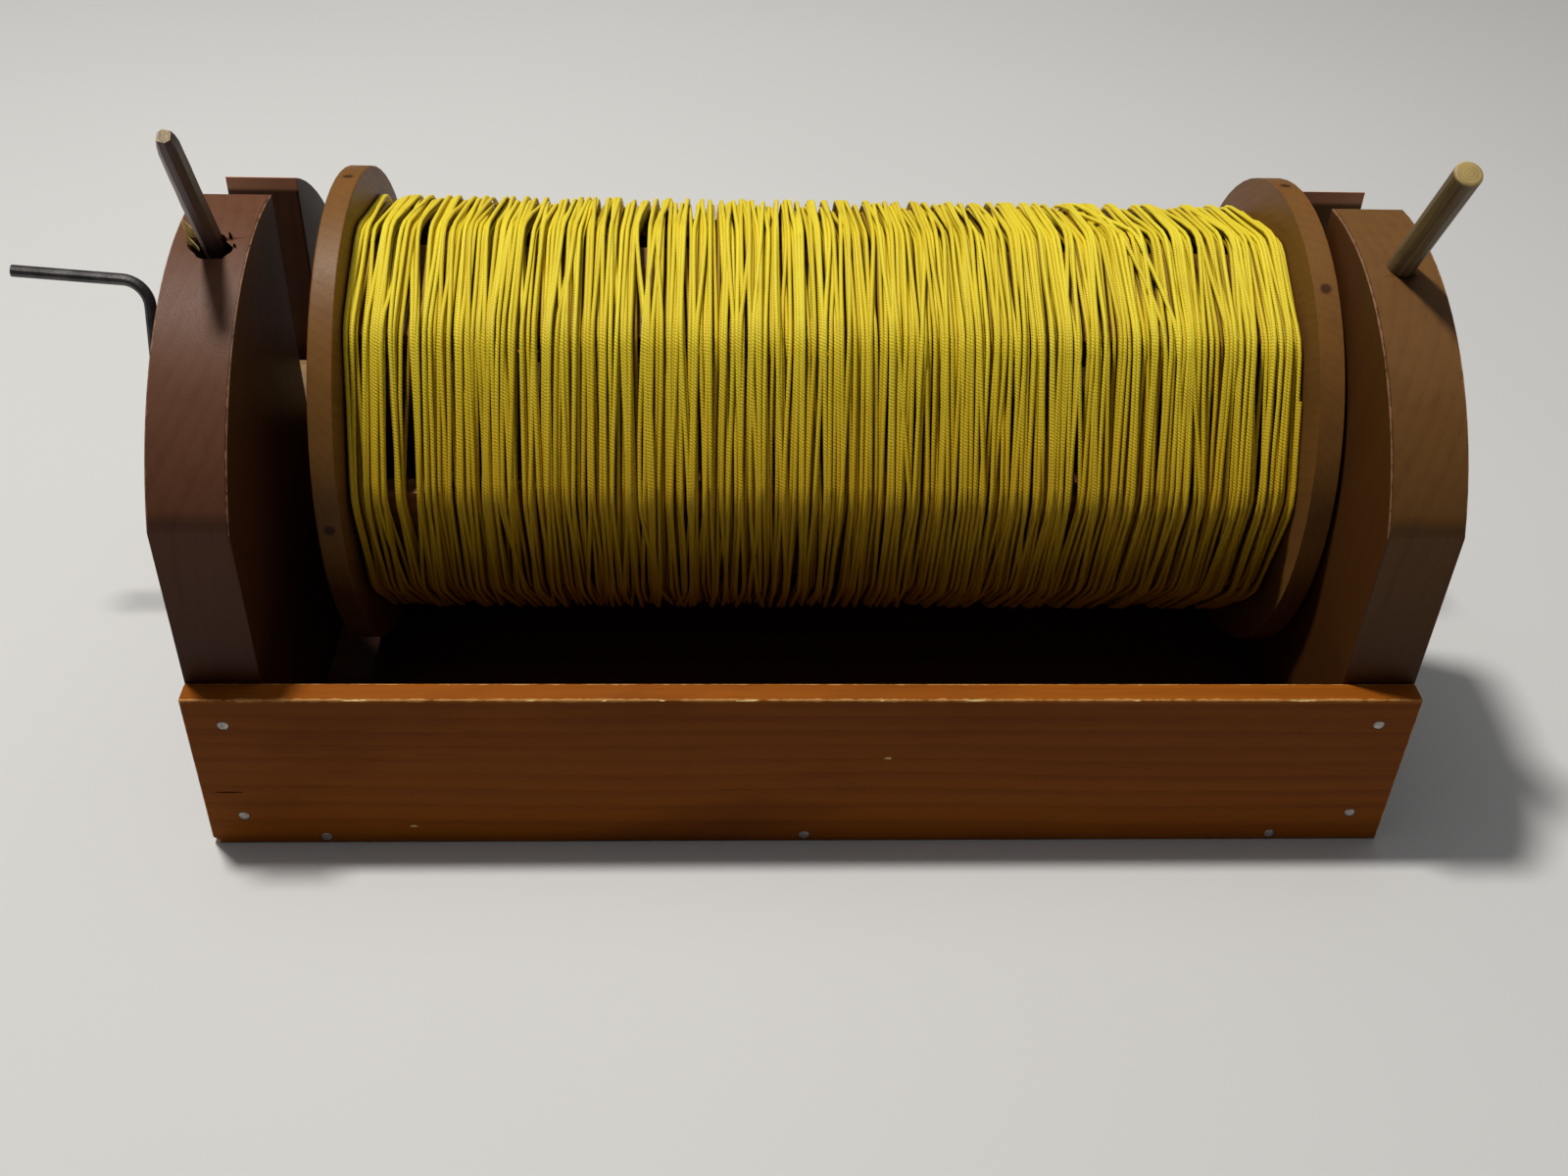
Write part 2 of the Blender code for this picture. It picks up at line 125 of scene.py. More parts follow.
# ---- node building: expressions on sockets add their own nodes ----
class Term:
    """A node's output in an expression; arithmetic on it adds Math nodes."""

    def __init__(self, bench, socket):
        self.bench = bench
        self.socket = socket

    def maths(self, operation, *others, clamp=False):
        values = {0: self}
        values.update(enumerate(others, 1))
        return self.bench.node('ShaderNodeMath', values, operation=operation, use_clamp=clamp)

    def flipped(self, operation, first):
        return self.bench.node('ShaderNodeMath', {0: first, 1: self}, operation=operation)

    def __add__(self, other):
        return self.maths('ADD', other)

    __radd__ = __add__

    def __mul__(self, other):
        return self.maths('MULTIPLY', other)

    __rmul__ = __mul__

    def __sub__(self, other):
        return self.maths('SUBTRACT', other)

    def __rsub__(self, other):
        return self.flipped('SUBTRACT', other)

    def __truediv__(self, other):
        return self.maths('DIVIDE', other)

    def __rtruediv__(self, other):
        return self.flipped('DIVIDE', other)

    def __abs__(self):
        return self.maths('ABSOLUTE')

    def fract(self):
        return self.maths('FRACT')

    def sine(self):
        return self.maths('SINE')

    def cosine(self):
        return self.maths('COSINE')

    def root(self):
        return self.maths('SQRT')

    def at_least(self, other):
        return self.maths('MAXIMUM', other)

    def at_most(self, other):
        return self.maths('MINIMUM', other)

    def clamped(self):
        return self.maths('ADD', 0.0, clamp=True)

    def step(self, low, high, to_low=0.0, to_high=1.0):
        """Smooth change from to_low to to_high as the value goes from low to high."""
        values = {'Value': self, 'From Min': low, 'From Max': high, 'To Min': to_low, 'To Max': to_high}
        return self.bench.node('ShaderNodeMapRange', values, interpolation_type='SMOOTHSTEP')


class Bench:
    """Adds nodes to one tree."""

    def __init__(self, tree):
        self.tree = tree

    def put(self, socket, value):
        if isinstance(value, Term):
            self.tree.links.new(value.socket, socket)
        else:
            socket.default_value = value

    def node(self, kind, values=(), out=0, **settings):
        """One node: its settings first, then its inputs, by name or number."""
        made = self.tree.nodes.new(kind)
        for key, value in settings.items():
            setattr(made, key, value)
        for key, value in dict(values).items():
            self.put(made.inputs[key], value)
        return Term(self, made.outputs[out])


class Finish(Bench):
    """One material being mixed."""

    def __init__(self, name):
        self.material = bpy.data.materials.new(name)
        self.material.use_nodes = True
        super().__init__(self.material.node_tree)
        self.shader = self.tree.nodes["Principled BSDF"]
        self.place = self.node('ShaderNodeTexCoord', out='Object')

    def turned(self, turn=(0, 0, 0), centre=(0, 0, 0)):
        """Object coordinates seen from a turned and shifted frame."""
        moved = self.node('ShaderNodeVectorMath', {0: self.place, 1: centre}, operation='SUBTRACT')
        return self.node('ShaderNodeMapping', {'Vector': moved, 'Rotation': turn}, vector_type='POINT')

    def split(self, vector):
        parts = self.tree.nodes.new('ShaderNodeSeparateXYZ')
        self.put(parts.inputs[0], vector)
        return [Term(self, parts.outputs[i]) for i in range(3)]

    def joined(self, x, y, z):
        return self.node('ShaderNodeCombineXYZ', {0: x, 1: y, 2: z})

    def cloud(self, vector, scale, detail=2.0, rough=0.5):
        values = {'Vector': vector, 'Scale': scale, 'Detail': detail, 'Roughness': rough}
        return self.node('ShaderNodeTexNoise', values)

    def distance(self, vector, point):
        return self.node('ShaderNodeVectorMath', {0: vector, 1: point}, out='Value', operation='DISTANCE')

    def between(self, first, second, amount):
        """A colour going from first to second."""
        values = {0: amount, 6: first, 7: second}
        return self.node('ShaderNodeMix', values, out=2, data_type='RGBA')

    def set(self, base, rough, bumps=(), metallic=0.0, **fixed):
        """Joins the shader: what varies as links, constants on the sockets."""
        self.put(self.shader.inputs['Base Color'], base)
        self.put(self.shader.inputs['Roughness'], rough)
        self.put(self.shader.inputs['Metallic'], metallic)
        for name, value in fixed.items():
            self.shader.inputs[name.replace('_', ' ')].default_value = value
        normal = None
        for height, strength, distance in bumps:
            values = {'Height': height, 'Strength': strength, 'Distance': distance}
            if normal is not None:
                values['Normal'] = normal
            normal = self.node('ShaderNodeBump', values)
        if normal is not None:
            self.put(self.shader.inputs['Normal'], normal)
        return self.material


def color(red, green, blue):
    return (red, green, blue, 1.0)


def wood(name, early, late, deep, turn=(0, 0, 0), pith=(0, 0.02, -0.11), spacing=0.0042, ring_depth=0.55,
         streak_depth=0.5, rough=0.38, knots=(), wear_and_light=None, shade=None, coat=0.0, specular=0.13, raised=0.25):
    """Stained softwood: growth rings round a pith along the turned X axis, fibres and patches of stain.

    Knots are (x, y, z, size). The paler-wood function gives (amount, colour) pairs: bare edges, and painted
    light on the cheeks' slots; the shade function gives the painted shade, and raised says how far the rings
    stand up.
    """
    mix = Finish(name)
    along, across, up = mix.split(mix.turned(turn, pith))
    slow = mix.cloud(mix.joined(along * 2.2, across * 9.0, up * 9.0), 1.0, 3.0)
    knot_dark = None
    swell = 0.0
    for x, y, z, size in knots:
        away = mix.distance(mix.place, (x, y, z))
        near = away.step(size * 0.45, size, 1.0, 0.0)
        knot_dark = near if knot_dark is None else knot_dark.at_least(near)
        swell = swell + away.step(0.0, size * 4.5, 1.0, 0.0) * 0.004
    wander = (slow - 0.5) * 0.016
    radius = (across * across + up * up).root() + wander + swell
    band = (radius / spacing).fract()
    ring = band.step(0.25, 0.88) * band.step(0.93, 1.0, 1.0, 0.0)
    streak = mix.cloud(mix.joined(along * 6.0, across * 150.0, up * 150.0), 1.0, 4.0, 0.6)
    fibre = mix.cloud(mix.joined(along * 55.0, across * 1500.0, up * 1500.0), 1.0, 3.0, 0.6)
    patch = mix.cloud(mix.joined(along * 9.0, across * 22.0, up * 22.0), 1.0, 3.0, 0.55)
    tone = mix.between(early, late, (ring * ring_depth + (streak - 0.5) * streak_depth).clamped())
    tone = mix.between(tone, deep, patch.step(0.48, 0.78) * 0.55)
    tone = mix.between(tone, deep, fibre.step(0.55, 0.75) * 0.30)
    if knot_dark is not None:
        tone = mix.between(tone, color(0.030, 0.010, 0.004), knot_dark * 0.85)
    # painted shade, mixed towards the deep colour
    if shade is not None:
        tone = mix.between(tone, deep, shade(mix))
    gloss = rough + (patch - 0.5) * 0.16 + (fibre - 0.5) * 0.18
    # paler wood: bare rubbed edges, and painted light where the cheeks' function gives it
    for amount, pale in wear_and_light(mix) if wear_and_light is not None else ():
        tone = mix.between(tone, pale, amount)
        gloss = gloss + amount * 0.2
    return mix.set(tone, gloss.clamped(), [(ring, raised, 0.00025), (fibre, 0.28, 0.00018)],
                   Coat_Weight=coat, Coat_Roughness=0.22, Specular_IOR_Level=specular)


def ragged_wear(mix, edge, width, scale, depth):
    """Bare wood within about width of an edge, broken up so that it comes and goes along it."""
    ragged = mix.cloud(mix.place, scale, 3.0, 0.6)
    return (edge / width + (ragged - 0.5) * depth * 4.0).step(0.55, 1.0, 1.0, 0.0)


def board_wear(low, high):
    """Bare wood on the long and short edges of a board that lies between two corners."""
    def paler_marks(mix):
        x, y, z = mix.split(mix.place)
        top = (high.z - z).at_least(0.0)
        face = ((y - low.y).at_most(high.y - y)).at_least(0.0)
        ends = ((x - low.x).at_most(high.x - x)).at_least(0.0)
        bottom = (z - low.z).at_least(0.0)
        edge = (top * top + face * face).root().at_most((ends * ends + face * face).root() * 1.6)
        edge = edge.at_most((bottom * bottom + face * face).root() * 1.8)
        return [(ragged_wear(mix, edge, 0.0008, 210.0, 0.7) * 0.75, color(0.56, 0.29, 0.09))]
    return paler_marks


def board_painted_shade(mix):
    """Painted shade: a board's faces darker than its lit top edge, most in their upper part and least near
    the floor.
    """
    _, _, z = mix.split(mix.place)
    top = FRONT_HIGH.z
    return z.step(top - 0.0022, top - 0.0010, 1.0, 0.0) * z.step(0.0, top * 0.7, 0.12, 0.40)


def cheek_wear_and_light(low, high):
    """Bare wood along the two edges of the cheek's arc, and painted light down the back wall of its slot."""
    def paler_marks(mix):
        x, y, z = mix.split(mix.place)
        side = ((x - low.x).at_most(high.x - x)).at_least(0.0)
        out_y = y - ARC_Y
        out_z = (z - ARC_Z).at_least(0.0)
        arc = (CHEEK_RADIUS - (out_y * out_y + out_z * out_z).root()).at_least(0.0)
        edge = (arc * arc + side * side).root()
        lit_end = high.z - SLOT_LIT_DEPTH
        slot_back_light = abs(y - SLOT_BACK).step(0.0004, 0.0012, 1.0, 0.0) * z.step(lit_end, lit_end + 0.0020)
        # bare rubbed edges, then painted light: the slot's back wall made paler, as a lit face
        return [(ragged_wear(mix, edge, 0.0005, 260.0, 0.9) * 0.45, color(0.42, 0.23, 0.13)),
                (slot_back_light * 0.9, color(0.72, 0.33, 0.19))]
    return paler_marks


def cheek_painted_shade(inner):
    """Painted shade on the cheek's inner face, between it and the flange, and low down where its front stands
    upright; the low part is partly darker stain as well.
    """
    def shade(mix):
        x, _, z = mix.split(mix.place)
        inside = abs(x - inner).step(0.0004, 0.0012, 0.80, 0.0)
        return inside.at_least(z.step(0.06, 0.185, 0.85, 0.0))
    return shade


def make_finishes():
    made = {}
    chestnut = color(0.285, 0.078, 0.005), color(0.160, 0.038, 0.003), color(0.085, 0.019, 0.004)
    made["front"] = wood("chestnut_stained_pine_front", *chestnut, pith=(0, -0.20, -0.05), spacing=0.0052,
                         ring_depth=0.32, streak_depth=1.1, rough=0.50, specular=0.06,
                         wear_and_light=board_wear(FRONT_LOW, FRONT_HIGH), shade=board_painted_shade)
    made["back"] = wood("chestnut_stained_pine_back", *chestnut, pith=(0.3, 0.23, -0.09), spacing=0.0056,
                        ring_depth=0.35, streak_depth=1.0, rough=0.50, specular=0.06,
                        wear_and_light=board_wear(BACK_LOW, BACK_HIGH), shade=board_painted_shade)
    made["floor"] = wood("walnut_stained_floor", color(0.085, 0.036, 0.020), color(0.048, 0.020, 0.012),
                         color(0.026, 0.011, 0.008), pith=(0, 0.03, -0.16), spacing=0.006, rough=0.24,
                         coat=0.5)
    make_cheek_finishes(made)
    make_reel_finishes(made)
    made["raw"] = wood("bare_broken_wood", color(0.80, 0.60, 0.25), color(0.56, 0.36, 0.12),
                       color(0.22, 0.12, 0.05), turn=(0, math.radians(90), 0), spacing=0.0018, rough=0.75)
    # painted shade: near-black wood for the insides of the torn hole and the crack, also used for the darker
    # slivers round the hole
    made["char"] = wood("dark_broken_wood", color(0.05, 0.02, 0.012), color(0.022, 0.010, 0.007),
                        color(0.010, 0.006, 0.005), turn=(0, math.radians(90), 0), spacing=0.0018, rough=0.7)
    made["left_peg"] = peg_finish("left", LEFT_PEG_RISE)
    made["right_peg"] = peg_finish("right", RIGHT_PEG_RISE)
    made["cord"] = cord_finish()
    made["steel"] = steel_finish()
    made["nail"] = nail_finish()
    return made


def make_cheek_finishes(made):
    """The left cheek took a redder and darker stain than the right one; their grain stands upright."""
    redder = color(0.118, 0.049, 0.026), color(0.080, 0.028, 0.010), color(0.042, 0.010, 0.0015)
    browner = color(0.155, 0.072, 0.021), color(0.104, 0.044, 0.012), color(0.050, 0.014, 0.002)
    for side, stain, low, high, inner in (("left", redder, LEFT_LOW, LEFT_HIGH, LEFT_HIGH.x),
                                          ("right", browner, RIGHT_LOW, RIGHT_HIGH, RIGHT_LOW.x)):
        made[side + "_cheek"] = wood(f"walnut_stained_pine_{side}", *stain, turn=(0, CHEEK_GRAIN_TURN, 0),
                                     pith=(low.x - 0.10, -0.03, 0.0), spacing=0.0050, ring_depth=0.20,
                                     streak_depth=1.1, rough=0.46, specular=0.13, raised=0.06,
                                     wear_and_light=cheek_wear_and_light(low, high), shade=cheek_painted_shade(inner))


def make_reel_finishes(made):
    """Tan flanges, each with two dark spots on its rim, and the tan slats and plain pole between them."""
    tan = color(0.175, 0.078, 0.019), color(0.105, 0.042, 0.011), color(0.060, 0.023, 0.007)
    for side, angles in (("left", (97, 3)), ("right", (60, 100))):
        low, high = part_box(side + "_flange")
        x = (low.x + high.x) / 2
        spots = [(x, AXLE_Y - FLANGE_RADIUS * math.cos(a), AXLE_Z + FLANGE_RADIUS * math.sin(a), 0.0028)
                 for a in map(math.radians, angles)]
        made[side + "_flange"] = wood(f"varnished_tan_wood_{side}", *tan,
                                      turn=(math.radians(35), 0, math.radians(90)), pith=(x - 0.06, 0, 0.02),
                                      spacing=0.0036, ring_depth=0.16, streak_depth=0.9, rough=0.46,
                                      raised=0.05, knots=spots)
    made["slat"] = wood("varnished_tan_wood_slats", *tan, pith=(0, 0.05, 0.22), spacing=0.0042, rough=0.42)
    made["dowel"] = wood("worn_dowel", color(0.26, 0.165, 0.075), color(0.15, 0.085, 0.035),
                         color(0.07, 0.038, 0.018), pith=(0, AXLE_Y + 0.03, AXLE_Z - 0.05), spacing=0.0026,
                         ring_depth=0.5, rough=0.55)


def peg_finish(side, rise):
    """Dull brown dowel with its grain along the peg, pale at the sawn end; the left one has a pale grey
    stripe down its left side."""
    x = LEFT_PEG_X if side == "left" else -LEFT_PEG_X
    mix = Finish(f"worn_{side}_peg")
    out = (0.0, -math.cos(rise), math.sin(rise))
    moved = mix.node('ShaderNodeVectorMath', {0: mix.place, 1: (x, AXLE_Y, AXLE_Z)}, operation='SUBTRACT')
    along = mix.node('ShaderNodeVectorMath', {0: moved, 1: out}, out='Value', operation='DOT_PRODUCT')
    grain = mix.node('ShaderNodeMapping', {'Vector': moved, 'Rotation': (-(math.pi / 2 - rise), 0, 0)})
    u, v, w = mix.split(grain)
    streak = mix.cloud(mix.joined(u * 900.0, v * 900.0, w * 14.0), 1.0, 4.0, 0.62)
    blotch = mix.cloud(mix.joined(u * 60.0, v * 60.0, w * 30.0), 1.0, 3.0)
    fibre = mix.cloud(mix.joined(u * 2600.0, v * 2600.0, w * 90.0), 1.0, 2.0)
    ragged = (streak - 0.5) * 0.0016
    pale, brown = color(0.072, 0.034, 0.026), color(0.034, 0.016, 0.013)
    if side == "right":
        pale, brown = color(0.180, 0.120, 0.048), color(0.070, 0.040, 0.018)
    tone = mix.between(pale, brown, streak.step(0.35, 0.68))
    tone = mix.between(tone, color(0.035, 0.018, 0.014), blotch.step(0.50, 0.75) * 0.6)
    if side == "left":
        tone = mix.between(tone, color(0.46, 0.39, 0.35), (u + ragged).step(-0.0024, -0.0012, 0.9, 0.0))
    sawn = (along + ragged).step(PEG_TIP[side] - 0.0010, PEG_TIP[side] - 0.0004)
    rings = ((u * u + v * v).root() * 5200.0).sine() * 0.5 + 0.5
    end_tone = mix.between(color(0.46, 0.34, 0.11), color(0.20, 0.12, 0.035),
                           (rings * 0.25 + (blotch - 0.35) * 2.2).clamped())
    tone = mix.between(tone, end_tone, sawn)
    return mix.set(tone, (0.52 + (streak - 0.5) * 0.3).clamped(),
                   [(fibre, 0.35, 0.0003), (streak, 0.3, 0.0004)])


def cord_finish():
    """Yellow twisted cord: two strands laid round each other, with painted shade in the groove between them.
    """
    mix = Finish("yellow_twisted_cord")
    run = mix.node('ShaderNodeAttribute', out='Fac', attribute_name="run")
    tone_and_shade = mix.node('ShaderNodeAttribute', out='Fac', attribute_name="tone")
    round_x, round_y, _ = mix.split(mix.node('ShaderNodeAttribute', out='Vector', attribute_name="round"))
    turn = run * (2 * math.pi / CORD_LAY)
    # the lay: a ridge that runs round the cord as it runs along, kept smooth all the way round
    single = turn.sine() * round_x + turn.cosine() * round_y
    lay = abs(single)
    thread = (turn * 5.0).sine() * round_x + (turn * 5.0).cosine() * round_y
    fuzz = mix.cloud(mix.place, 2600.0, 2.0)
    patch = mix.cloud(mix.place, 46.0, 3.0, 0.6)
    base = mix.between(color(0.82, 0.69, 0.038), color(0.66, 0.49, 0.015), tone_and_shade)
    # painted shade in the lay's groove
    base = mix.between(base, color(0.38, 0.24, 0.008), lay.step(0.35, 0.0) * 0.5)
    base = mix.between(base, color(0.50, 0.33, 0.010), patch.step(0.52, 0.80) * 0.35)
    # painted shade: the highest tones, on the inner layer, go dark brown
    base = mix.between(base, color(0.20, 0.10, 0.008), tone_and_shade.step(0.80, 1.0) * 0.8)
    # painted shade: the winding's lower side goes darker orange, as it looks in shade
    _, _, z = mix.split(mix.place)
    base = mix.between(base, color(0.54, 0.30, 0.005), z.step(0.10, 0.185, 0.70, 0.0))
    return mix.set(base, (0.46 + (fuzz - 0.5) * 0.25).clamped(),
                   [(lay, 0.55, 0.00022), (thread, 0.15, 0.00008), (fuzz, 0.12, 0.00006)],
                   Specular_IOR_Level=0.25)


def steel_finish():
    """Dark drawn steel with a brown bloom and fine marks."""
    mix = Finish("dark_steel_rod")
    cloud = mix.cloud(mix.place, 120.0, 4.0, 0.6)
    marks = mix.cloud(mix.place, 900.0, 3.0, 0.6)
    tone = mix.between(color(0.060, 0.056, 0.058), color(0.110, 0.100, 0.098), cloud.step(0.35, 0.7))
    tone = mix.between(tone, color(0.070, 0.036, 0.020), marks.step(0.58, 0.75) * 0.6)
    return mix.set(tone, (0.34 + (marks - 0.5) * 0.35).clamped(), [(marks, 0.2, 0.0001)],
                   metallic=(0.9 - cloud * 0.3).clamped())


def nail_finish():
    """Bright nail steel, dulled and spotted with rust."""
    mix = Finish("dull_nail_steel")
    cloud = mix.cloud(mix.place, 700.0, 4.0, 0.6)
    marks = mix.cloud(mix.place, 3200.0, 2.0, 0.6)
    tone = mix.between(color(0.46, 0.44, 0.40), color(0.24, 0.21, 0.18), cloud.step(0.35, 0.65))
    tone = mix.between(tone, color(0.17, 0.085, 0.04), cloud.step(0.60, 0.75) * 0.7)
    return mix.set(tone, (0.40 + (marks - 0.5) * 0.3).clamped(), [(marks, 0.3, 0.0001)],
                   metallic=(0.85 - cloud * 0.4).clamped())


def linked(name, data):
    """A new object in the scene."""
    item = bpy.data.objects.new(name, data)
    bpy.context.scene.collection.objects.link(item)
    return item


# ---- woodwork: a frame node's own shape with its long edges eased ----
def add_piece(name, mesh, material, body, replaced=()):
    item = linked(name, mesh)
    mesh.materials.clear()
    mesh.materials.append(material)
    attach(item, body)
    if replaced:
        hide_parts(*replaced)
    return item


def merged_copy(node):
    """A frame node's shape as one clean shell: shared corners, flat faces whole."""
    bm = bmesh.new()
    bm.from_mesh(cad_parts[node].data)
    bmesh.ops.remove_doubles(bm, verts=bm.verts, dist=0.000004)
    bmesh.ops.dissolve_limit(bm, angle_limit=math.radians(0.6), verts=bm.verts, edges=bm.edges)
    return bm


def ease(bm, width):
    """Rounds the shell's longer outer corners."""
    sharp = [edge for edge in bm.edges if len(edge.link_faces) == 2 and edge.is_convex
             and edge.calc_face_angle() > EASE_FROM_ANGLE and edge.calc_length() > EASE_FROM_LENGTH]
    bmesh.ops.bevel(bm, geom=sharp, offset=width, segments=EASE_STEPS, profile=0.5, affect='EDGES',
                    clamp_overlap=True)


def shell_mesh(bm, name, angle=50):
    mesh = bpy.data.meshes.new(name)
    bm.to_mesh(mesh)
    bm.free()
    mesh.shade_smooth()
    mesh.set_sharp_from_angle(angle=math.radians(angle))
    return mesh


def weighted(item):
    """Flat faces keep their own shading beside the eased edges."""
    smooth = item.modifiers.new("flat faces first", 'WEIGHTED_NORMAL')
    smooth.keep_sharp = True


def eased_piece(node, name, width, material, body):
    bm = merged_copy(node)
    ease(bm, width)
    item = add_piece(name, shell_mesh(bm, name), material, body, (node,))
    weighted(item)
    return item


def gouge(item, name, cut_finish, bm):
    """Takes a shape out of a piece, the cut faces in the cutter's finish."""
    mesh = bpy.data.meshes.new(name)
    bm.to_mesh(mesh)
    bm.free()
    mesh.materials.append(cut_finish)
    cutter = linked(name, mesh)
    boolean = item.modifiers.new(name, 'BOOLEAN')
    boolean.object = cutter
    boolean.operation = 'DIFFERENCE'
    boolean.solver = 'EXACT'
    boolean.material_mode = 'TRANSFER'
    while item.modifiers[0] != boolean:
        item.modifiers.move(item.modifiers.find(boolean.name), 0)
    bpy.context.view_layer.update()
    shaped = bpy.data.meshes.new_from_object(item.evaluated_get(bpy.context.evaluated_depsgraph_get()))
    old = item.data
    item.modifiers.clear()
    item.data = shaped
    bpy.data.meshes.remove(old)
    bpy.data.objects.remove(cutter)
    return item


def chip_shapes(spots, seed):
    """Shallow ragged scoops as one cutter; each spot is (place, size)."""
    bm = bmesh.new()
    rng = random.Random(seed)
    for place, size in spots:
        made = bmesh.ops.create_icosphere(bm, subdivisions=2, radius=1.0)
        shift = Vector((rng.random(), rng.random(), rng.random())) * 9
        for vert in made["verts"]:
            swell = 1.0 + 0.35 * noise.noise(vert.co * 1.7 + shift)
            vert.co = Vector(place) + Vector(c * s * swell for c, s in zip(vert.co, size))
    return bm


def build_woodwork(finish):
    front = eased_piece("front_board", "eased_front_board", 0.0007, finish["front"], "tray")
    back = eased_piece("back_board", "eased_back_board", 0.0007, finish["back"], "tray")
    eased_piece("bottom_board", "eased_bottom_board", 0.0005, finish["floor"], "tray")
    top, near, far = FRONT_HIGH.z, FRONT_LOW.y, BACK_HIGH.y
    front_chips = [((x, near, top), (length, 0.0006, 0.0005)) for x, length in
                   ((-0.158, 0.0058), (-0.0975, 0.0026), (-0.072, 0.0012), (-0.052, 0.0014),
                    (-0.0225, 0.0060), (0.025, 0.0013), (0.0575, 0.0050), (0.115, 0.0016), (0.1745, 0.0060))]
    front_chips.append(((FRONT_LOW.x, near, 0.0), (0.0026, 0.0030, 0.0030)))
    front_chips.append(((-0.144, near, 0.0085), (0.0016, 0.0004, 0.0006)))
    front_chips.append(((0.029, near, 0.0425), (0.0014, 0.0004, 0.0006)))
    cracks = [((-0.2085, near, 0.0262), (0.0056, 0.0010, 0.0003))]
    gouge(front, "front_chips", finish["raw"], chip_shapes(front_chips, 11))
    # the crack's faces in near-black painted shade
    gouge(front, "front_cracks", finish["char"], chip_shapes(cracks, 13))
    back_chips = [((x, far, top), (length, 0.0009, 0.0008)) for x, length in
                  ((-0.17, 0.0021), (-0.052, 0.0016), (0.093, 0.0035), (0.16, 0.0014))]
    gouge(back, "back_chips", finish["raw"], chip_shapes(back_chips, 12))
    for item in (front, back):
        weighted(item)
    for side in ("left", "right"):
        cheek = eased_piece(side + "_cheek", f"eased_{side}_cheek", 0.0008, finish[side + "_cheek"], "tray")
        if side == "left":
            # the hole's walls in near-black painted shade
            gouge(cheek, "broken_out_hole", finish["char"], broken_hole())
            weighted(cheek)
        eased_piece(side + "_flange", f"eased_{side}_flange", 0.0007, finish[side + "_flange"], "reel")
    for number in range(1, SLAT_COUNT + 1):
        eased_piece(f"slat_{number}", f"eased_slat_{number}", 0.0006, finish["slat"], "reel")
    eased_piece("axle_pole", "eased_axle_pole", 0.0010, finish["dowel"], "reel")


def left_peg_point(distance, side, cross):
    """A point by the left peg's line, with offsets across it: side along X and cross towards the back."""
    out = Vector((0, -math.cos(LEFT_PEG_RISE), math.sin(LEFT_PEG_RISE)))
    back = Vector((0, math.sin(LEFT_PEG_RISE), math.cos(LEFT_PEG_RISE)))
    return Vector((LEFT_PEG_X + side, AXLE_Y, AXLE_Z)) + out * distance + back * cross


def peg_entry(rise):
    """Distance from the pole's axis to the cheek's arc, along a peg's line."""
    across, up = AXLE_Y - ARC_Y, AXLE_Z - ARC_Z
    half = up * math.sin(rise) - across * math.cos(rise)
    return -half + math.sqrt(half ** 2 + CHEEK_RADIUS ** 2 - across ** 2 - up ** 2)


PEG_TIP = {"left": peg_entry(LEFT_PEG_RISE) + PEG_REACH, "right": peg_entry(RIGHT_PEG_RISE) + PEG_REACH}


def broken_hole():
    """The mouth of the left peg's hole, torn wider than the stick."""
    bm = bmesh.new()
    entry = peg_entry(LEFT_PEG_RISE)
    rings = []
    sides = 22
    levels = ((0.006, 0.0076), (0.0, 0.0067), (-0.003, 0.0061), (-0.011, 0.0054))
    for level, (depth, radius) in enumerate(levels):
        ring = []
        for i in range(sides):
            a = 2 * math.pi * i / sides
            wide = Vector((math.cos(a) * 1.6, math.sin(a) * 1.6, level * 0.35 + 4.0))
            fine = Vector((math.cos(a) * 6, math.sin(a) * 6, level + 9.0))
            r = radius * (1.0 + 0.30 * noise.noise(wide) + 0.10 * noise.noise(fine))
            point = left_peg_point(entry + depth, r * math.cos(a), r * 0.9 * math.sin(a) - HOLE_SHIFT)
            ring.append(bm.verts.new(point))
        rings.append(ring)
    for upper, lower in zip(rings, rings[1:]):
        for i in range(sides):
            j = (i + 1) % sides
            bm.faces.new((upper[i], upper[j], lower[j], lower[i]))
    bm.faces.new(rings[0])
    bm.faces.new(rings[-1])
    bmesh.ops.recalc_face_normals(bm, faces=bm.faces)
    return bm


def loft(rings, name):
    """Closes a run of rings, each a list of points, into one shell with capped ends."""
    bm = bmesh.new()
    made = [[bm.verts.new(p) for p in ring] for ring in rings]
    count = len(made[0])
    for upper, lower in zip(made, made[1:]):
        for i in range(count):
            j = (i + 1) % count
            bm.faces.new((upper[i], upper[j], lower[j], lower[i]))
    for ring in (made[0], made[-1]):
        middle = bm.verts.new(sum((v.co for v in ring), Vector()) / count)
        for i in range(count):
            bm.faces.new((ring[i], ring[(i + 1) % count], middle))
    bmesh.ops.recalc_face_normals(bm, faces=bm.faces)
    return shell_mesh(bm, name, 38)


def build_left_peg(finish):
    """A stick split from a board: six uneven sides, a slight bend and a chewed tip."""
    corners = ((0.0034, 0.0030), (-0.0008, 0.0040), (-0.0036, 0.0022), (-0.0030, -0.0030), (0.0012, -0.0040),
               (0.0036, -0.0022))
    length = PEG_TIP["left"] - STICK_START
    steps = 46
    tip_from = 0.965
    rings = []
    for k in range(steps + 1):
        t = k / steps
        taper = 1.0 - 0.10 * t
        if t > tip_from:
            taper *= 1.0 - (t - tip_from) / (1.0 - tip_from) * 0.28
        bend = 0.0003 * math.sin(t * 5.0 + 0.6)
        ring = []
        for i, (u, v) in enumerate(corners):
            grain = Vector((i * 3.1, t * 4.0, 2.0))
            size = taper * (1.0 + 0.10 * noise.noise(grain) + 0.03 * noise.noise(grain * 5))
            chewed = 0.0009 * noise.noise(Vector((i * 2.3, 7.0, 1.0))) - 0.0006 if k == steps else 0.0
            ring.append(left_peg_point(STICK_START + length * t + chewed, u * size + bend, v * size))
        rings.append(ring)
    mesh = loft(rings, "split_left_peg")
    add_piece("split_left_peg", mesh, finish["left_peg"], "left_keeper", ("left_peg",))


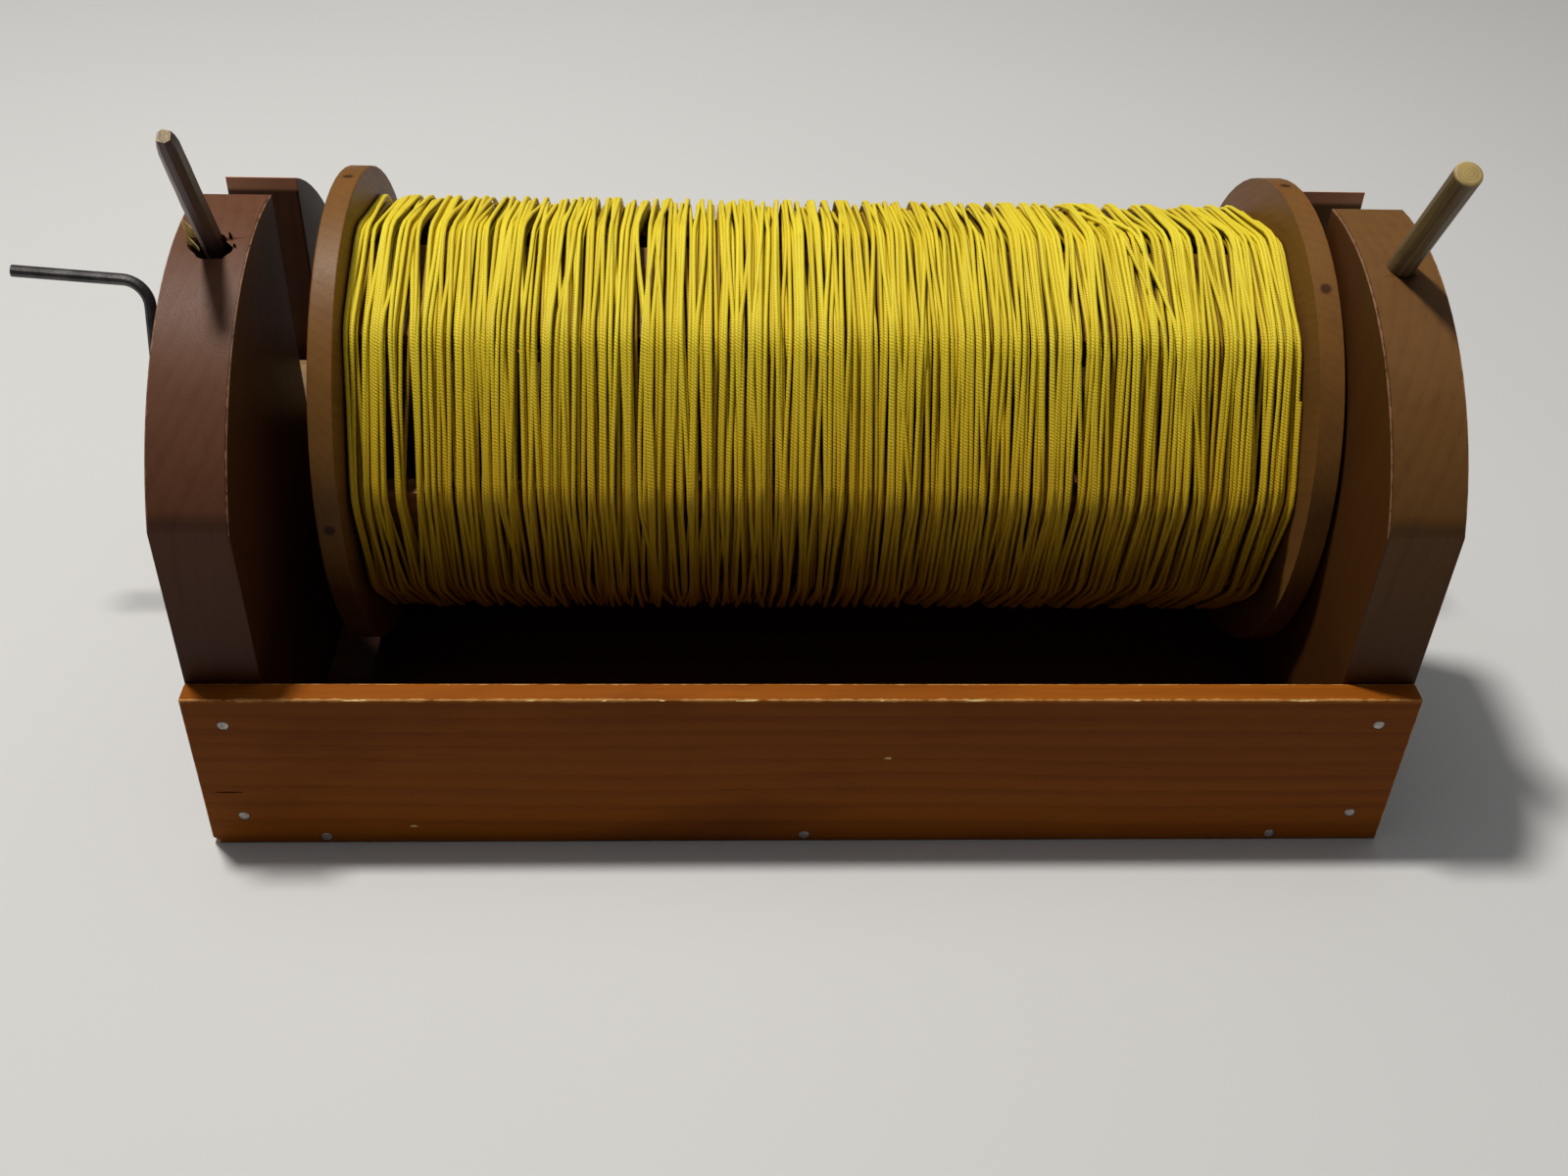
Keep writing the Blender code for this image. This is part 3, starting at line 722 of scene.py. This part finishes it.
def build_splinters(finish):
    """Torn slivers round the left peg's hole, as side, cross, height, width and lean."""
    entry = peg_entry(LEFT_PEG_RISE)
    slivers = ((-0.0072, 0.0030, 0.0080, 0.0027, -0.10), (-0.0066, -0.0012, 0.0058, 0.0020, -0.1),
               (0.0074, -0.0022, 0.0026, 0.0010, 0.35), (0.0056, 0.0026, 0.0022, 0.0009, 0.2),
               (-0.0036, -0.0088, 0.0010, 0.0010, 0.0), (0.0048, -0.0080, 0.0010, 0.0009, 0.2))
    for number, (side, cross, height, width, lean) in enumerate(slivers, 1):
        rings = []
        for k in range(7):
            t = k / 6
            size = width * (1 - t) ** 0.7 + 0.00008
            ring = []
            for i in range(5):
                a = 2 * math.pi * i / 5 + number
                swell = 1.0 + 0.35 * noise.noise(Vector((i * 1.7, t * 3, number * 2.2)))
                ring.append(left_peg_point(entry - SPLINTER_ROOT + t * (height + SPLINTER_ROOT),
                                           side + lean * height * t + size * swell * math.cos(a),
                                           cross + size * 0.6 * swell * math.sin(a)))
            rings.append(ring)
        mesh = loft(rings, f"hole_sliver_{number}")
        material = finish["raw"] if number <= 2 else finish["char"]
        add_piece(f"hole_sliver_{number}", mesh, material, "tray")


# ---- nails: one turned nail set at each of the frame's nails ----
def nail_mesh():
    bm = bmesh.new()
    profile = ((0.0, 0.00012), (0.0008, 0.00010), (0.0015, 0.00004), (0.00195, -0.00008), (0.00205, -0.00030),
               (0.00195, -0.00070), (0.0011, -0.00080), (0.0010, -0.00120), (0.0010, -0.0230), (0.0, -0.0250))
    ends = [bm.verts.new((x, 0, z)) for x, z in profile]
    edges = [bm.edges.new(pair) for pair in zip(ends, ends[1:])]
    bmesh.ops.spin(bm, geom=ends + edges, cent=(0, 0, 0), axis=(0, 0, 1), angle=2 * math.pi, steps=20,
                   use_duplicate=False)
    bmesh.ops.remove_doubles(bm, verts=bm.verts, dist=0.00001)
    bmesh.ops.recalc_face_normals(bm, faces=bm.faces)
    return shell_mesh(bm, "nail", 55)


def new_tree(name, inputs):
    """An empty geometry tree with a geometry input first, then the given named inputs."""
    tree = bpy.data.node_groups.new(name, 'GeometryNodeTree')
    tree.interface.new_socket("Geometry", in_out='INPUT', socket_type='NodeSocketGeometry')
    tree.interface.new_socket("Geometry", in_out='OUTPUT', socket_type='NodeSocketGeometry')
    for label, kind in inputs:
        tree.interface.new_socket(label, in_out='INPUT', socket_type=kind)
    bench = Bench(tree)
    entry = tree.nodes.new('NodeGroupInput')
    given = {socket.name: Term(bench, socket) for socket in entry.outputs if socket.name}
    return bench, given


def end_tree(bench, geometry, material):
    whole = bench.node('GeometryNodeRealizeInstances', {0: geometry})
    painted = bench.node('GeometryNodeSetMaterial', {'Geometry': whole, 'Material': material})
    leave = bench.tree.nodes.new('NodeGroupOutput')
    bench.tree.links.new(painted.socket, leave.inputs[0])
    return bench.tree


def grown_mesh(name, source, tree, values):
    """Runs a geometry tree on a source mesh and returns the result as a plain mesh."""
    item = linked(name, source)
    grow = item.modifiers.new(name, 'NODES')
    grow.node_group = tree
    for socket in tree.interface.items_tree:
        if socket.in_out == 'INPUT' and socket.name in values:
            grow[socket.identifier] = values[socket.name]
    bpy.context.view_layer.update()
    mesh = bpy.data.meshes.new_from_object(item.evaluated_get(bpy.context.evaluated_depsgraph_get()))
    mesh.name = name
    bpy.data.objects.remove(item)
    return mesh


def nail_tree():
    bench, given = new_tree("nails at points", (("Nail", 'NodeSocketObject'), ("Tilt", 'NodeSocketFloat'),
                                                ("Seed", 'NodeSocketInt'), ("Metal", 'NodeSocketMaterial')))
    nail = bench.node('GeometryNodeObjectInfo', {'Object': given["Nail"]}, out='Geometry')
    facing = bench.node('GeometryNodeInputNamedAttribute', {'Name': "facing"}, data_type='FLOAT_VECTOR')
    turned = bench.node('FunctionNodeAlignRotationToVector', {'Vector': facing}, axis='Z')
    least = bench.node('ShaderNodeCombineXYZ', {0: given["Tilt"] * -1.0, 1: given["Tilt"] * -1.0, 2: 0.0})
    most = bench.node('ShaderNodeCombineXYZ', {0: given["Tilt"], 1: given["Tilt"], 2: 6.28})
    drift = bench.node('FunctionNodeRandomValue', {0: least, 1: most, 'Seed': given["Seed"]},
                       data_type='FLOAT_VECTOR')
    placed = bench.node('GeometryNodeInstanceOnPoints', {'Points': given["Geometry"], 'Instance': nail,
                                                         'Rotation': turned})
    placed = bench.node('GeometryNodeRotateInstances', {'Instances': placed, 'Rotation': drift})
    return end_tree(bench, placed, given["Metal"])


def build_nails(finish):
    """Nail heads lie in their counterbores, each a little tilted."""
    template = linked("nail_template", nail_mesh())
    tree = nail_tree()
    for body, seed in (("tray", 5), ("reel", 6)):
        heads, facings, names = [], [], []
        for name in sorted(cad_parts):
            if "_nail" not in name or ("slat" in name) != (body == "reel"):
                continue
            low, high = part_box(name)
            middle = (low + high) / 2
            if body == "reel":
                sign = -1 if name.endswith("left") else 1
                heads.append(Vector((low.x if sign < 0 else high.x, middle.y, middle.z)))
                facings.append(Vector((sign, 0, 0)))
            else:
                sign = -1 if name.startswith("front") else 1
                heads.append(Vector((middle.x, low.y if sign < 0 else high.y, middle.z)))
                facings.append(Vector((0, sign, 0)))
            names.append(name)
        source = bpy.data.meshes.new(body + "_nail_points")
        source.from_pydata(heads, [], [])
        attribute = source.attributes.new("facing", 'FLOAT_VECTOR', 'POINT')
        attribute.data.foreach_set("vector", [c for v in facings for c in v])
        mesh = grown_mesh(body + "_nails", source, tree,
                          {"Nail": template, "Tilt": NAIL_TILT, "Seed": seed, "Metal": finish["nail"]})
        add_piece(body + "_nails", mesh, finish["nail"], body, names)
    bpy.data.objects.remove(template)


# ---- the wound cord ----
def corner_angles():
    angles = []
    for i in range(SLAT_COUNT):
        middle = SLAT_PHASE + 2 * math.pi * i / SLAT_COUNT - (FRONT_SLAT_DROP if i == SLAT_COUNT - 1 else 0.0)
        angles += [middle - SLAT_HALF_ANGLE, middle + SLAT_HALF_ANGLE]
    return angles


def round_the_reel():
    """One turn seen from the side: each station's place, its outward direction, and its corner and share."""
    angles = corner_angles()
    count = len(angles)
    corners = np.array([(-math.cos(a), math.sin(a)) for a in angles]) * CORD_BASE_RADIUS
    normals = []
    for k in range(count):
        along = corners[(k + 1) % count] - corners[k]
        out = np.array((along[1], -along[0])) / np.hypot(*along)
        normals.append(out if out @ (corners[k] + corners[(k + 1) % count]) > 0 else -out)
    places, outs, marks = [], [], []
    for k in range(count):
        both = normals[k - 1] + normals[k]
        both = both / np.hypot(*both)
        centre = corners[k] - both * CORNER_ROUNDING / (both @ normals[k])
        for out, share in ((normals[k - 1], -ROUNDED_SHARE), (both, 0.0), (normals[k], ROUNDED_SHARE)):
            places.append(centre + out * CORNER_ROUNDING)
            outs.append(out)
            marks.append((k, share))
        for share in STRAIGHT_SHARES:
            places.append(corners[k] * (1 - share) + corners[(k + 1) % count] * share)
            outs.append(normals[k])
            marks.append((k, share))
    places, outs = np.array(places), np.array(outs)
    above = places @ np.array((-math.cos(LOOSE_MIDDLE), math.sin(LOOSE_MIDDLE))) / CORD_BASE_RADIUS
    return places + outs * (LOOSE_RISE * np.clip(above, 0, 1) ** 2)[:, None], outs, marks


# places where neighbouring turns part, as corner number, place along the reel and half width
PARTINGS = (
    (9, -0.1500, 0.0020), (9, -0.1428, 0.0024), (9, -0.1280, 0.0010), (9, -0.1110, 0.0009),
    (9, -0.0770, 0.0008), (9, -0.0437, 0.0012), (9, -0.0120, 0.0008), (9, 0.0360, 0.0008),
    (9, 0.0823, 0.0009), (9, 0.0985, 0.0017), (9, 0.1070, 0.0013), (9, 0.1420, 0.0010),
    (0, -0.1440, 0.0014), (0, -0.0610, 0.0009), (0, 0.1640, 0.0022), (1, -0.1560, 0.0010),
    (1, -0.1495, 0.0020), (1, -0.1410, 0.0014), (1, -0.0613, 0.0011), (1, -0.0434, 0.0008),
    (1, 0.0230, 0.0008), (1, 0.0960, 0.0011), (1, 0.1580, 0.0018), (4, -0.1200, 0.0012),
    (4, 0.0700, 0.0012), (6, -0.0900, 0.0012), (6, 0.1300, 0.0012), (3, 0.0400, 0.0012),
    (8, -0.0800, 0.0012),
)
# long strays over the front, as share of the outer layer, corner where the drift starts, and drift
STRAYS = (
    (0.165, 7, -0.0062), (0.330, 7, -0.0058), (0.440, 7, -0.0075), (0.590, 8, -0.0085), (0.770, 7, -0.0080),
    (0.856, 0, -0.0270), (0.868, 0, -0.0245), (0.905, 8, -0.0090), (0.960, 0, -0.0075),
)
# how much of its drift a stray has at each corner from there on
STRAY_SHAPE = (0.0, 0.45, 1.0, 1.0, 0.6, 0.3, 0.0)


def corner_places(turns, start, end, layer, rng):
    """Where the cord crosses each slat corner, along the reel, for a whole layer."""
    count = 2 * SLAT_COUNT
    total = turns * count + 1
    x = np.linspace(start, end, total)
    corner = np.arange(total) % count
    shared = np.empty(total)
    for i in range(total):
        a = 2 * math.pi * corner[i] / count
        place = Vector((x[i] * 105.0, math.cos(a) * 0.8, math.sin(a) * 0.8 + layer * 0.4))
        shared[i] = SHARED_WANDER * noise.noise(place)
    own = np.zeros(total)
    for i in range(1, total):
        own[i] = own[i - 1] * WANDER_KEPT + rng.gauss(0.0, OWN_WANDER)
    x = x + shared + own
    for at, middle, half in PARTINGS:
        away = x - middle
        reach = np.where(corner == at, 1.0, 0.0)
        beside = (corner == (at + 1) % count) | (corner == (at - 1) % count)
        reach += np.where(beside, PARTING_BESIDE, 0.0)
        x = x + np.sign(away) * half * reach * np.exp(-np.abs(away) / PARTING_REACH)
    if layer == len(CORD_LAYERS) - 1:
        small = [(rng.random(), rng.randrange(count), -rng.uniform(0.0022, 0.0052))
                 for _ in range(SMALL_STRAYS)]
        for where, at, drift in (*STRAYS, *small):
            first = int(where * turns) * count + at
            for offset, amount in enumerate(STRAY_SHAPE):
                x[min(first + offset, total - 1)] += drift * amount
    return np.clip(x, min(start, end), max(start, end))


def smooth_through(values, at):
    """A smooth curve through evenly spaced values, read at fractional places."""
    last = len(values) - 1
    left = np.clip(np.floor(at).astype(int), 0, last - 1)
    t = at - left
    a, b = values[np.clip(left - 1, 0, last)], values[left]
    c, d = values[left + 1], values[np.clip(left + 2, 0, last)]
    return b + 0.5 * t * ((c - a) + t * (2 * a - 5 * b + 4 * c - d + t * (3 * (b - c) + d - a)))


def lay_cord():
    """Turns laid one after another; each rests on what is already under it at every station."""
    rng = random.Random(41)
    places, outs, marks = round_the_reel()
    stations = len(marks)
    low = WINDING_LOW.x + CORD_RADIUS + CORD_END_GAP
    high = WINDING_HIGH.x - CORD_RADIUS - CORD_END_GAP
    laid_x = np.empty((0, stations))
    laid_h = np.empty((0, stations))
    layers = []
    thick = 2 * CORD_RADIUS * TURN_PRESS
    for layer, (name, turns, sides) in enumerate(CORD_LAYERS):
        start, end = (low, high) if layer % 2 == 0 else (high, low)
        x_corner = corner_places(turns, start, end, layer, rng)
        first = np.arange(turns) * 2 * SLAT_COUNT
        xs = np.empty((turns, stations))
        for s, (k, share) in enumerate(marks):
            xs[:, s] = np.clip(smooth_through(x_corner, np.maximum(first + k + share, 0.0)), low, high)
        heights = np.zeros((turns, stations))
        for turn in range(turns):
            below_x = np.vstack((laid_x, xs[:turn]))
            below_h = np.vstack((laid_h, heights[:turn]))
            apart = np.abs(below_x - xs[turn])
            nested = below_h + np.sqrt(np.maximum(thick ** 2 - apart ** 2, 0)) * NEST_SHARE
            lift = np.where(apart < thick, nested, 0.0)
            h = lift.max(axis=0) if len(lift) else np.zeros(stations)
            h = np.minimum(h, STACK_LIMIT)
            for _ in range(3):
                h = np.maximum(h, (np.roll(h, 1) + np.roll(h, -1)) / 2 - BRIDGE_SAG)
            heights[turn] = np.minimum(h, STACK_LIMIT)
        path = []
        for turn in range(turns):
            for s in range(stations):
                side = places[s] + outs[s] * heights[turn, s]
                path.append((xs[turn, s], AXLE_Y + side[0], AXLE_Z + side[1]))
        layers.append((name, sides, stations, path))
        laid_x = np.vstack((laid_x, xs))
        laid_h = np.vstack((laid_h, heights))
    return layers


def cord_tree():
    bench, given = new_tree("cord along a path", (("Radius", 'NodeSocketFloat'), ("Sides", 'NodeSocketInt'),
                                                  ("Cord", 'NodeSocketMaterial')))
    line = bench.node('GeometryNodeMeshToCurve', {0: given["Geometry"]})
    length = bench.node('GeometryNodeSplineParameter', out='Length')
    line = bench.node('GeometryNodeStoreNamedAttribute', {'Geometry': line, 'Name': "run", 'Value': length},
                      data_type='FLOAT', domain='POINT')
    ring = bench.node('GeometryNodeCurvePrimitiveCircle', {'Resolution': given["Sides"],
                                                           'Radius': given["Radius"]})
    spot = bench.node('GeometryNodeInputPosition')
    unit = bench.node('ShaderNodeVectorMath', {0: spot}, operation='NORMALIZE')
    ring = bench.node('GeometryNodeStoreNamedAttribute', {'Geometry': ring, 'Name': "round", 'Value': unit},
                      data_type='FLOAT_VECTOR', domain='POINT')
    tube = bench.node('GeometryNodeCurveToMesh', {'Curve': line, 'Profile Curve': ring, 'Fill Caps': True})
    return end_tree(bench, tube, given["Cord"])


def build_cord(finish):
    tree = cord_tree()
    rng = random.Random(7)
    for name, sides, stations, path in lay_cord():
        source = bpy.data.meshes.new(name + "_path")
        source.from_pydata(path, [(i, i + 1) for i in range(len(path) - 1)], [])
        turns = len(path) // stations
        middle, most = CORD_TONES_AND_SHADE[name]
        # per-turn tones vary at random; the deeper layers lean darker as painted shade
        tones_and_shade = [min(most, max(0.0, middle + rng.gauss(0, 0.20))) for _ in range(turns + 1)]
        values = []
        for i in range(len(path)):
            turn, share = i // stations, i % stations / stations
            values.append(tones_and_shade[turn] * (1 - share) + tones_and_shade[turn + 1] * share)
        source.attributes.new("tone", 'FLOAT', 'POINT').data.foreach_set("value", values)
        mesh = grown_mesh(f"cord_{name}_layer", source, tree,
                          {"Radius": CORD_RADIUS, "Sides": sides, "Cord": finish["cord"]})
        mesh.shade_smooth()
        replaced = ("cord_winding",) if name == "outer" else ()
        add_piece(f"cord_{name}_layer", mesh, finish["cord"], "reel", replaced)


# ---- finishes on the frame's own pieces ----
def paint_frame(finish):
    for node, kind in (("crank_rod", "steel"), ("right_peg", "right_peg")):
        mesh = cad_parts[node].data
        mesh.materials.clear()
        mesh.materials.append(finish[kind])


# ---- floor, light and camera ----
def build_stage():
    bm = bmesh.new()
    bmesh.ops.create_grid(bm, x_segments=1, y_segments=1, size=STAGE_HALF)
    mesh = bpy.data.meshes.new("pale_floor")
    bm.to_mesh(mesh)
    bm.free()
    mix = Finish("pale_floor")
    cloud = mix.cloud(mix.place, 3.0, 2.0)
    tone = mix.between(color(0.62, 0.62, 0.615), color(0.585, 0.585, 0.58), cloud)
    mesh.materials.append(mix.set(tone, 0.75))
    floor = linked("pale_floor", mesh)
    floor.location.z = -STAGE_DROP


def area_light(name, place, target, size, power, tint):
    lamp = bpy.data.lights.new(name, 'AREA')
    lamp.shape = 'DISK'
    lamp.size = size
    lamp.energy = power
    lamp.color = tint
    item = linked(name, lamp)
    item.location = place
    item.rotation_euler = (Vector(target) - Vector(place)).to_track_quat('-Z', 'Y').to_euler()


def build_light():
    area_light("key_light", (-0.46, 0.22, 1.88), (0, 0, 0.08), 0.20, 33.0, (1.0, 0.97, 0.92))
    area_light("ceiling", (0.0, 0.5, 2.6), (0, 0, 0.1), 3.0, 17.0, (1.0, 0.99, 0.97))
    world = bpy.data.worlds.new("studio")
    bpy.context.scene.world = world
    world.use_nodes = True
    backdrop = world.node_tree.nodes["Background"]
    backdrop.inputs["Color"].default_value = (0.90, 0.94, 1.0, 1.0)
    backdrop.inputs["Strength"].default_value = 0.07
    bpy.context.scene.view_settings.view_transform = 'Standard'


def build_camera():
    data = bpy.data.cameras.new("camera")
    data.lens = 38.35
    data.sensor_width = 36.0
    camera = linked("camera", data)
    heading, tilt, roll = (math.radians(angle) for angle in (-3.22, 52.13, 2.15))
    turn = Matrix.Rotation(heading, 4, 'Z') @ Matrix.Rotation(tilt, 4, 'X') @ Matrix.Rotation(roll, 4, 'Z')
    camera.matrix_world = Matrix.Translation((-0.0354, -0.5599, 0.4593)) @ turn
    bpy.context.scene.camera = camera


build_camera()
build_light()
build_stage()
finishes = make_finishes()
paint_frame(finishes)
build_woodwork(finishes)
build_left_peg(finishes)
build_splinters(finishes)
build_nails(finishes)
build_cord(finishes)
